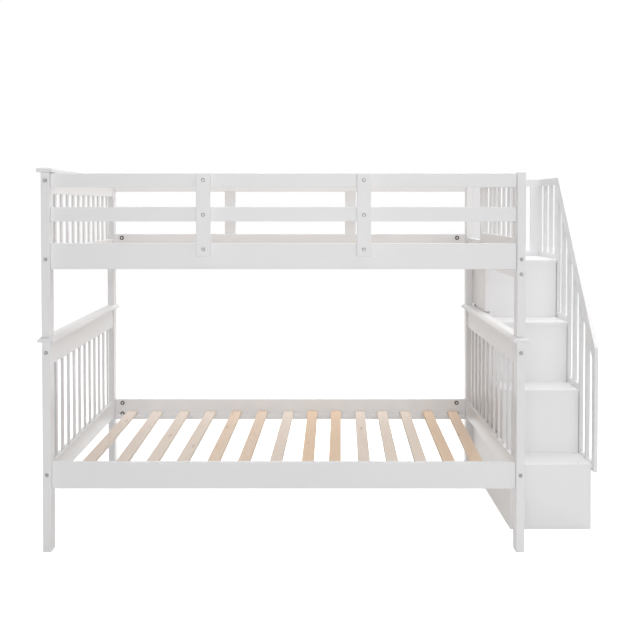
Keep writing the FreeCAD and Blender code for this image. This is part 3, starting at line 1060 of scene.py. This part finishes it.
@dataclass
class LongGuard:
    """The guard along one long side of the upper bed: two rails and two bolted stiles."""

    side: Side
    stile_width: float = 58.0 * MM
    bolt_heights: tuple[float, ...] = (1.542, 1.399, 1.2565)

    def build(self, shop: Workshop, bolts: Bolts) -> None:
        """Makes the rails and the stiles."""
        place = self.side.name.lower()
        for part in ("top", "middle"):
            node = f"{place}_guard_{part}_rail"
            shop.boards(f"{node}_board", [Block.of(node)], node, radius=RAIL_EDGE)
        node = f"{place}_guard_stiles"
        stiles = Block.of(node).row(Axis.X, 2, self.stile_width)
        cuts = []
        for block in stiles:
            face_y = block.low.y if self.side is Side.FRONT else block.high.y
            cuts += [bolts.sink(Vector((block.middle.x, face_y, z)), Vector((0, self.side.value, 0)))
                     for z in self.bolt_heights]
        shop.drilled(f"{node}_bored", stiles, Axis.Z, bolts.bores(cuts), node)


@dataclass
class EntryPanel:
    """The right end of the upper bed: its rail, and the short guard beside the entrance."""

    bar_count: int = 7
    bar_seed: int = 77
    bottom_height: float = 40.0 * MM
    top_height: float = 45.0 * MM

    def build(self, shop: Workshop, rows: RowTree) -> None:
        """Makes the rail, the panel's rails, its upright and its bars."""
        shop.boards("upper_right_end_board", [Block.of("upper_right_end_rail")], "upper_right_end_rail",
                    radius=RAIL_EDGE)
        rails = Block.of("entry_panel_rails")
        low = rails.part(Axis.Z, rails.low.z, self.bottom_height)
        high = rails.part(Axis.Z, rails.high.z - self.top_height, self.top_height)
        shop.boards("entry_panel_boards", [low, high], "entry_panel_rails")
        shop.boards("entry_upright_board", [Block.of("entry_upright")], "entry_upright")
        BarRow("entry_bars_row", "entry_panel_bars", self.bar_count, self.bar_seed).build(
            shop, rows, low.high.z, high.low.z)


@dataclass
class StairTower:
    """The columns of boards under the treads, open on the outer side."""

    run: float = 226.0 * MM
    panel: float = 16.0 * MM
    nosing: float = 5.0 * MM
    steps: int = 3
    cap_clearance: float = 2.0 * MM
    notch_width: float = 6.5 * MM
    notch_drop: float = 2.5 * MM
    notch_rise: float = 5.5 * MM
    rear_slot: float = 208.0 * MM
    rear_slot_height: float = 8.0 * MM
    riser_play: float = 2.0 * MM
    plug_radius: float = 5.0 * MM
    plug_inset: float = 56.0 * MM
    plug_setback: float = 26.0 * MM
    plug_depth: float = 1.4 * MM
    edge: float = 1.0 * MM
    cutter_edge: float = 0.1 * MM
    cut_tone: float = 0.45

    def __post_init__(self) -> None:
        """Takes the places of what the boards meet."""
        self.platform = Block.of("stair_platform")
        self.cap = Block.of("lower_right_cap_rail")
        self.rear = Block.of("stair_back_panel").high.y
        self.inner = self.platform.low.x + self.panel
        self.first = Block.of("stair_risers").low.y
        self.rise = Block.of("stair_treads").high.z / self.steps

    def build(self, shop: Workshop) -> None:
        """Makes the tower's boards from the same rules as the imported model's."""
        boards = self.columns()
        for name, kind, node in (("stair_tread_boards", "tread", "stair_treads"),
                                 ("stair_shelf_boards", "shelf", "stair_shelves"),
                                 ("stair_floor_boards", "floor", "stair_bottom_boards")):
            shop.boards(name, boards[kind], node, radius=self.edge, axis=Axis.X, finish=shop.board_paint)
        shop.boards("stair_platform_board", [self.platform], "stair_platform", finish=shop.board_paint)
        left, right = self.platform.low.x, self.platform.high.x
        plugs = [(Vector((x, board.low.y + self.plug_setback, board.high.z - MM)), Vector((0, 0, 1)))
                 for board in boards["tread"] for x in (left + self.plug_inset, right - self.plug_inset)]
        shop.place("tread_screw_plugs", shop.soften(cylinders(plugs, self.plug_radius, self.plug_depth)),
                   shop.plug_grey, Slot.PAINT)
        shop.boards("stair_back_board", [Block.of("stair_back_panel")], "stair_back_panel",
                    radius=self.edge, finish=shop.board_paint)
        self.build_cut(shop, boards)

    def columns(self) -> dict[str, list[Block]]:
        """The boards of all columns, by kind, from the front column to the back one."""
        left, right = self.platform.low.x, self.platform.high.x
        floors = Block.of("stair_bottom_boards")
        boards: dict[str, list[Block]] = {kind: [] for kind in ("side", "riser", "tread", "shelf", "floor")}

        def add(kind: str, *limits: float) -> None:
            """Adds a board by its six limits."""
            boards[kind].append(Block.span(*limits))

        for step in range(1, self.steps + 2):
            front = self.first + self.run * (step - 1)
            last = step > self.steps
            end = self.rear if last else front + self.run
            under = self.rise * step - self.panel
            if last:
                add("side", left, self.inner, front, end, 0, self.rise * self.steps)
                add("side", left, self.inner, front, end, self.cap.high.z + self.cap_clearance, under)
            else:
                add("side", left, self.inner, front, end, 0, under)
                add("tread", left, right, front - self.nosing, end, under, self.rise * step)
            behind = front + self.panel
            add("riser", self.inner, right - self.riser_play, front, behind, 0, under)
            room = end - self.panel if last else end
            add("floor", self.inner, right, behind, room, floors.low.z, floors.high.z)
            for level in range(1, step):
                top = self.rise * level
                add("shelf", self.inner, right, behind, room, top - self.panel, top)
        return boards

    def build_cut(self, shop: Workshop, boards: dict[str, list[Block]]) -> None:
        """Makes the side boards and the risers, the last of each cut to pass over the bed's cap.

        Args:
            shop: the workshop.
            boards: the tower's boards by kind.
        """
        left = self.platform.low.x - OUTSIDE
        front = self.first + self.run * self.steps
        notch = Block.span(left, self.inner + self.notch_width, front - MM, front + self.panel + MM,
                           self.cap.high.z - self.notch_drop, self.cap.high.z + self.notch_rise)
        slot_z = self.cap.high.z + self.cap_clearance
        slot = Block.span(left, self.inner + MM / 2, self.rear - self.rear_slot, self.rear + OUTSIDE,
                          slot_z - OUTSIDE, slot_z + self.rear_slot_height)
        for kind, node, axis, cuts in (("side", "stair_side_panels", Axis.Z, (notch, slot)),
                                       ("riser", "stair_risers", Axis.X, (notch,))):
            name = f"stair_{kind}_boards"
            *others, last = boards[kind]
            plain, cut = Stock(len(name)), Stock(len(name) + 1)
            for block in others:
                plain.board(block, self.edge, axis)
            cut.board(last, self.edge, axis)
            cutters = []
            for n, block in enumerate(cuts):
                cutter = Stock(n)
                cutter.board(block, self.cutter_edge)
                cutters.append(cutter.mesh("cutter"))
            mesh = shop.soften(shop.bored(cut.mesh(name + "_last"), cutters))
            stamp_board(mesh, last, axis, self.cut_tone)
            shop.place(name, plain.mesh(name), shop.board_paint, Slot.PAINT, node)
            shop.place(name + "_notched", mesh, shop.board_paint, Slot.PAINT, node)


@dataclass
class StairGuard:
    """The open guard on the outer side of the stairs: newels, sloped rail, cleats and balusters."""

    baluster: float = 30.0 * MM
    rail_depth: float = 68.0 * MM
    cleat_height: float = 38.0 * MM
    cleat_rise: float = 27.0 * MM
    first_cleat_rise: float = 9.0 * MM
    level_balusters: int = 2
    run: float = 226.0 * MM
    steps: int = 3
    edge: float = 1.2 * MM

    def __post_init__(self) -> None:
        """Takes the places of the pieces that the others meet, and the sloped rail's slope from its box."""
        self.sloped = Block.of("stair_sloped_handrail")
        self.front, self.top, self.corner = (
            Block.of(f"stair_{name}_newel") for name in ("front", "top", "corner"))
        self.level = Block.of("stair_level_handrail")
        self.rise = Block.of("stair_treads").high.z / self.steps
        length, height, depth = self.sloped.size.y, self.sloped.size.z, self.rail_depth
        root = math.sqrt(length ** 2 + height ** 2 - depth ** 2)
        self.slope = (height * length - depth * root) / (length ** 2 - depth ** 2)
        self.plumb = depth * math.hypot(1.0, self.slope)
        self.foot_top = self.sloped.high.z - self.slope * length

    def span(self, y0: float, y1: float, z0: float, z1: float) -> Block:
        """A box as thick as the guard."""
        return Block.span(self.sloped.low.x, self.sloped.high.x, y0, y1, z0, z1)

    def underside(self, y: float) -> float:
        """Height of the sloped rail's lower edge."""
        return self.foot_top + self.slope * (y - self.sloped.low.y) - self.plumb

    def build(self, shop: Workshop) -> None:
        """Makes every piece of the guard."""
        rail = self.span(self.sloped.low.y, self.sloped.high.y, self.foot_top - self.plumb, self.foot_top)
        newel = self.span(self.front.low.y, self.front.high.y, self.front.low.z,
                          self.underside(self.front.middle.y))
        for name, seed, block, axis, leans in (
                ("sloped_handrail", 41, rail, Axis.Y, {"lean_all": self.slope}),
                ("front_newel", 42, newel, Axis.Z, {"lean_top": self.slope})):
            stock = Stock(seed)
            stock.board(block, self.edge, axis, **leans)
            shop.place(name, stock.mesh(name), shop.paint, Slot.PAINT, f"stair_{name}")
        for name, block in (("top_newel", self.top), ("corner_newel", self.corner),
                            ("level_handrail", self.level)):
            shop.boards(name, [block], f"stair_{name}", radius=self.edge)
        self.build_rows(shop)

    def build_rows(self, shop: Workshop) -> None:
        """Makes the balusters, and the cleats on the treads that they stand on."""
        half = self.baluster / 2
        first_riser = Block.of("stair_risers").low.y
        cleats, stock = [], Stock(43)
        for step in range(1, self.steps + 1):
            riser = first_riser + self.run * (step - 1)
            z = self.rise * step + (self.first_cleat_rise if step == 1 else self.cleat_rise)
            y0 = self.front.high.y if step == 1 else riser + half
            y1 = self.top.low.y if step == self.steps else riser + self.run + half
            cleats.append(self.span(y0, y1, z - self.cleat_height, z))
            for y in (riser + self.run / 2, riser + self.run)[:1 if step == self.steps else 2]:
                stock.board(self.span(y - half, y + half, z, self.underside(y)), self.edge, Axis.Z,
                            lean_top=self.slope)
        z = self.rise * (self.steps + 1) + self.cleat_rise
        start, stop = self.top.high.y, self.corner.low.y
        cleats.append(self.span(start, stop, z - self.cleat_height, z))
        gap = (stop - start - self.level_balusters * self.baluster) / (self.level_balusters + 1)
        for n in range(self.level_balusters):
            y = start + gap + n * (gap + self.baluster)
            stock.board(self.span(y, y + self.baluster, z, self.level.low.z), self.edge, Axis.Z)
        shop.place("guard_balusters", stock.mesh("guard_balusters"), shop.paint, Slot.PAINT,
                   "stair_guard_balusters")
        shop.boards("guard_cleats", cleats, "stair_guard_cleats", radius=self.edge)


@dataclass
class PlatformGuard:
    """The guard across the back of the platform."""

    upright: float = 47.0 * MM
    count: int = 4
    edge: float = 1.2 * MM

    def build(self, shop: Workshop) -> None:
        """Makes its rails and uprights."""
        for part in ("top", "bottom"):
            node = f"platform_back_{part}_rail"
            shop.boards(f"{node}_board", [Block.of(node)], node, radius=self.edge)
        node = "platform_back_uprights"
        shop.boards("platform_guard_uprights", Block.of(node).row(Axis.X, self.count, self.upright), node,
                    radius=self.edge, axis=Axis.Z)


@dataclass(frozen=True)
class Lamp:
    """A large square soft lamp."""

    name: str
    place: Triple
    aim: Triple
    size: float
    power: float

    def build(self) -> None:
        """Hangs the lamp."""
        light = bpy.data.lights.new(self.name, "AREA")
        light.shape = "SQUARE"
        light.size = self.size
        light.energy = self.power
        lamp = bpy.data.objects.new(self.name, light)
        lamp.location = self.place
        way = Vector(self.aim) - Vector(self.place)
        lamp.rotation_euler = way.to_track_quat("-Z", "Y").to_euler()
        bpy.context.scene.collection.objects.link(lamp)


@dataclass(frozen=True)
class Studio:
    """The camera, the white surround, the lamps and the pale floor."""

    eye: Triple = (-0.0693, -4.982, 1.4377)
    pitch_down: float = 1.4
    focal_pixels: float = 1034.5
    image: int = 640
    axis_x: float = 310.7
    axis_y: float = 230.74
    sensor: float = 36.0
    fill: float = 0.225
    sideways: float = 0.075
    floor_reach: float = 30.0
    lamps: tuple[Lamp, ...] = (
        Lamp("front_lamp", (0.0, -12.5, 3.1), (0.2, 0.0, 0.9), 6.0, 480.0),
        Lamp("top_lamp", (0.9, 0.9, 5.6), (0.5, 0.1, 0.0), 6.5, 345.0),
        Lamp("side_lamp", (6.0, 1.6, 2.8), (0.0, 0.3, 0.8), 4.5, 60.0),
    )

    def build(self) -> None:
        """Sets up everything round the object."""
        scene = bpy.context.scene
        scene.view_settings.view_transform = "Standard"
        self.camera(scene)
        self.world(scene)
        for lamp in self.lamps:
            lamp.build()
        self.floor()

    def camera(self, scene: bpy.types.Scene) -> None:
        """Stands the camera where the photograph was taken from."""
        lens = bpy.data.cameras.new("camera")
        lens.sensor_width = self.sensor
        lens.lens = self.focal_pixels / self.image * self.sensor
        lens.shift_x = (self.image / 2 - self.axis_x) / self.image
        lens.shift_y = (self.axis_y - self.image / 2) / self.image
        lens.clip_end = 100.0
        camera = bpy.data.objects.new("camera", lens)
        camera.location = self.eye
        camera.rotation_euler = (math.radians(90.0 - self.pitch_down), 0.0, 0.0)
        scene.collection.objects.link(camera)
        scene.camera = camera

    def world(self, scene: bpy.types.Scene) -> None:
        """A white surround: white to the camera, a plain fill light on the object, less from the left."""
        world = bpy.data.worlds.new("studio")
        scene.world = world
        world.use_nodes = True
        world.node_tree.nodes.clear()
        graph = Graph(world.node_tree)
        way = graph.value("ShaderNodeTexCoord", out="Generated")
        across = graph.value("ShaderNodeSeparateXYZ", inputs={"Vector": way}, out="X")
        light = across * self.sideways + self.fill
        strength = graph.direct() * (1.0 - light) + light
        back = graph.node("ShaderNodeBackground", inputs={"Color": rgba((1, 1, 1)), "Strength": strength})
        graph.node("ShaderNodeOutputWorld", inputs={"Surface": back.outputs[0]})

    def floor(self) -> None:
        """Lays the floor."""
        mesh = bpy.data.meshes.new("floor")
        corners = [(x * self.floor_reach, y * self.floor_reach, 0)
                   for x, y in ((-1, -1), (1, -1), (1, 1), (-1, 1))]
        mesh.from_pydata(corners, [], [(0, 1, 2, 3)])
        mesh.materials.append(PaleGround("floor_white").build())
        floor = bpy.data.objects.new("floor", mesh)
        bpy.context.scene.collection.objects.link(floor)


# ---- the whole object ---------------------------------------------------------------------

# Heights of bolts in metres; tones from 0 to 1, drift in millimetres and turn in degrees of each slat.
LOWER_RAIL_BOLTS = (0.351, 0.292)
UPPER_RAIL_BOLTS = (1.260, 1.201)
GUARD_BOLTS = (1.399, 1.542)
LOWER_END_BOLTS = {End.LEFT: (0.830, 0.3215), End.RIGHT: (0.828, 0.320)}
UPPER_END_BOLTS = {End.LEFT: (1.5405, 1.2156), End.RIGHT: (1.2152, 1.1541)}
LOWER_TONES = (0.20, 0.12, 0.25, 0.38, 0.72, 0.74, 0.42, 0.97, 1.00, 0.30, 0.42, 0.46, 0.95, 0.88)
LOWER_DRIFT = (0.0, 12.0, 18.0, 22.0, 27.0, 32.0, 41.0, 45.0, 35.0, 32.0, 22.0, 14.0, 6.0, 0.0)
LOWER_TURN = (0.3, -0.2, 0.5, 1.1, 1.3, 1.7, 1.8, 1.2, 1.7, 1.8, 1.5, 1.5, 1.4, 2.2)
UPPER_TONES = (0.3, 0.5, 0.45, 0.2, 0.6, 0.4, 0.35, 0.72, 0.4, 0.5, 0.45, 0.25, 0.6, 0.3)


def dress_hidden(shop: Workshop) -> None:
    """Gives the locating pins, which stay as packed, their steel."""
    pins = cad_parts["post_pins"]
    pins.data.materials.clear()
    pins.data.materials.append(shop.steel)


def main() -> None:
    """Builds every assembly in order."""
    logging.basicConfig(level=logging.INFO, format="%(name)s: %(message)s")
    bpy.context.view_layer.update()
    shop = Workshop()
    bolts = Bolts()
    bars = RowTree("bar_row", shop.paint)
    slats = RowTree("slat_row", shop.pine)
    Posts("lower", LOWER_END_BOLTS, LOWER_RAIL_BOLTS).build(shop, bolts)
    Posts("upper", UPPER_END_BOLTS, UPPER_RAIL_BOLTS + GUARD_BOLTS).build(shop, bolts)
    for prefix in ("lower_left", "lower_right", "upper_left"):
        EndPanel(prefix).build(shop, bars)
    for node, slope_width, slope_height in (("lower_left_cap_rail", 14 * MM, 12 * MM),
                                            ("lower_right_cap_rail", 14 * MM, 12 * MM),
                                            ("upper_left_cap_rail", 5 * MM, 5 * MM)):
        CapRail(node, slope_width, slope_height).build(shop)
    SlatBed("lower", LOWER_TONES, LOWER_DRIFT, LOWER_TURN,
            nut_heights=LOWER_RAIL_BOLTS).build(shop, slats, bolts)
    SlatBed("upper", UPPER_TONES, nut_heights=UPPER_RAIL_BOLTS).build(shop, slats, bolts)
    for side in Side:
        LongGuard(side).build(shop, bolts)
    EntryPanel().build(shop, bars)
    StairTower().build(shop)
    StairGuard().build(shop)
    PlatformGuard().build(shop)
    bolts.build(shop)
    dress_hidden(shop)
    Studio().build()
    LOG.info("%d pieces", shop.count)


if __name__ == "__main__":
    main()
